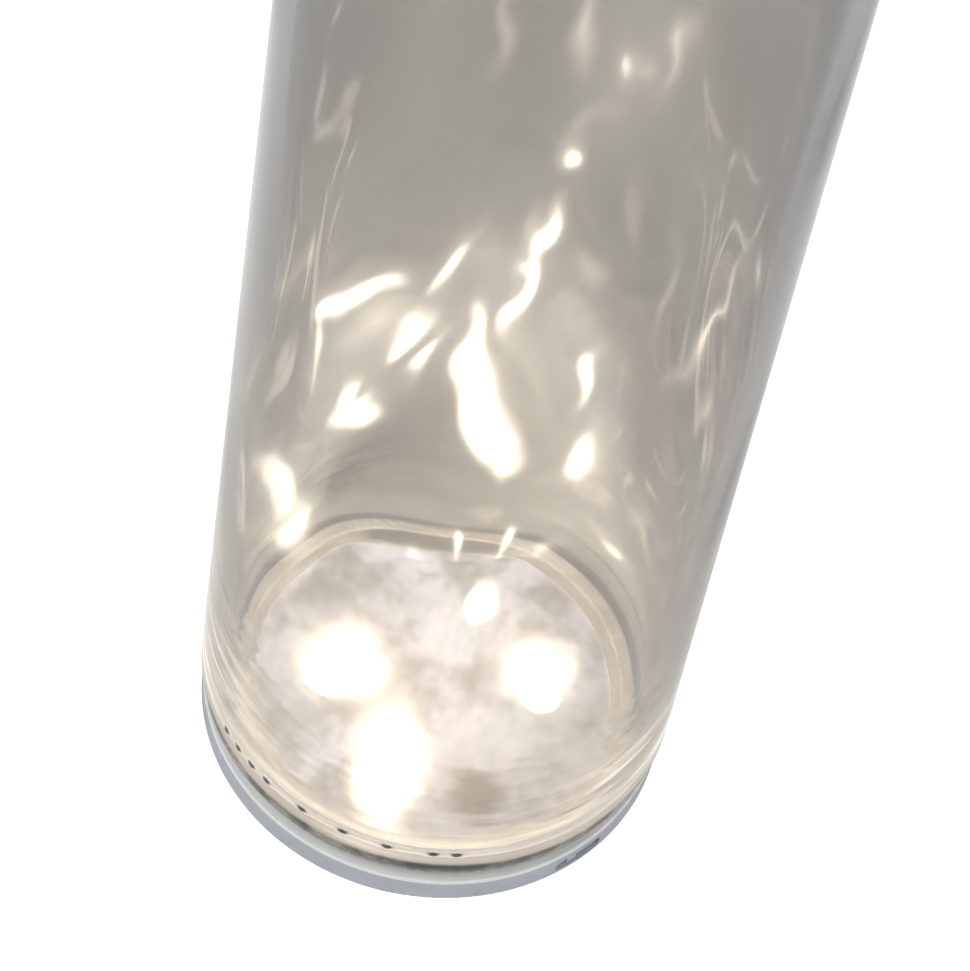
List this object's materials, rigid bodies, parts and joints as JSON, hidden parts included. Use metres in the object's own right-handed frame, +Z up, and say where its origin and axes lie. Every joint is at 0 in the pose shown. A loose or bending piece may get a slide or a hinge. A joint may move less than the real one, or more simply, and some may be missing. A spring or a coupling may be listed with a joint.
{
  "type": "bottle light",
  "caption": "Clear glass bottle closed by a natural cork, standing on a thin round light disc that shines up through the bottle's bottom.",
  "frame": {"origin": "centre of the light disc's underside, on the bottle's axis", "axes": "+Z up along the bottle's axis; the slide switch is at the front right, 42 degrees from +X towards -Y"},
  "size_m": [0.061, 0.061, 0.2825],
  "materials": {
    "shell_plastic": "moulded satin",
    "cover_plastic": "moulded satin",
    "door_plastic": "moulded satin",
    "knob_plastic": "moulded satin",
    "tacky_gel": "tacky",
    "clear_lens": "clear",
    "board": "white solder mask",
    "led_case": "moulded",
    "phosphor": "cast",
    "resistor": "satin",
    "cell_steel": "nickel plated",
    "gasket": "moulded",
    "contact_metal": "plated spring bronze",
    "switch_steel": "plated",
    "clear_glass": "clear, faint grey",
    "cork": "natural, punched and tapered"
  },
  "bodies": {
    "light_disc": {"base_shell": "shell_plastic", "top_cover": "cover_plastic", "adhesive_ring": "tacky_gel", "circuit_board": "board", "led_case_1": "led_case", "led_phosphor_1": "phosphor", "lens_1": "clear_lens", "led_case_2": "led_case", "led_phosphor_2": "phosphor", "lens_2": "clear_lens", "led_case_3": "led_case", "led_phosphor_3": "phosphor", "lens_3": "clear_lens", "led_case_4": "led_case", "led_phosphor_4": "phosphor", "lens_4": "clear_lens", "cell_can_1": "cell_steel", "cell_gasket_1": "gasket", "cell_cap_1": "cell_steel", "negative_contact_1": "contact_metal", "positive_contact_1": "contact_metal", "cell_can_2": "cell_steel", "cell_gasket_2": "gasket", "cell_cap_2": "cell_steel", "negative_contact_2": "contact_metal", "positive_contact_2": "contact_metal", "resistors": "resistor", "switch_case": "switch_steel", "switch_terminals": "contact_metal"},
    "bottle": {"glass_bottle": "clear_glass"},
    "cork": {"cork": "cork"},
    "battery_door_1": {"battery_door_1": "door_plastic"},
    "battery_door_2": {"battery_door_2": "door_plastic"},
    "switch_knob": {"switch_knob": "knob_plastic"}
  },
  "joints": [
    {"name": "bottle_lift", "type": "slide", "parent": "light_disc", "child": "bottle", "axis": [0, 0, 1], "range_m": [0, 0.06]},
    {"name": "cork_pull", "type": "slide", "parent": "bottle", "child": "cork", "axis": [0, 0, 1], "range_m": [0, 0.04]},
    {"name": "door_1_turn", "type": "hinge", "parent": "light_disc", "child": "battery_door_1", "pos_m": [-0.009, 0.01073, 0.001], "axis": [0, 0, -1], "range_deg": [0, 90]},
    {"name": "door_2_turn", "type": "hinge", "parent": "light_disc", "child": "battery_door_2", "pos_m": [0.009, -0.01073, 0.001], "axis": [0, 0, -1], "range_deg": [0, 90]},
    {"name": "switch_slide", "type": "slide", "parent": "light_disc", "child": "switch_knob", "axis": [0.6691, 0.7431, 0], "range_m": [0, 0.002]}
  ]
}
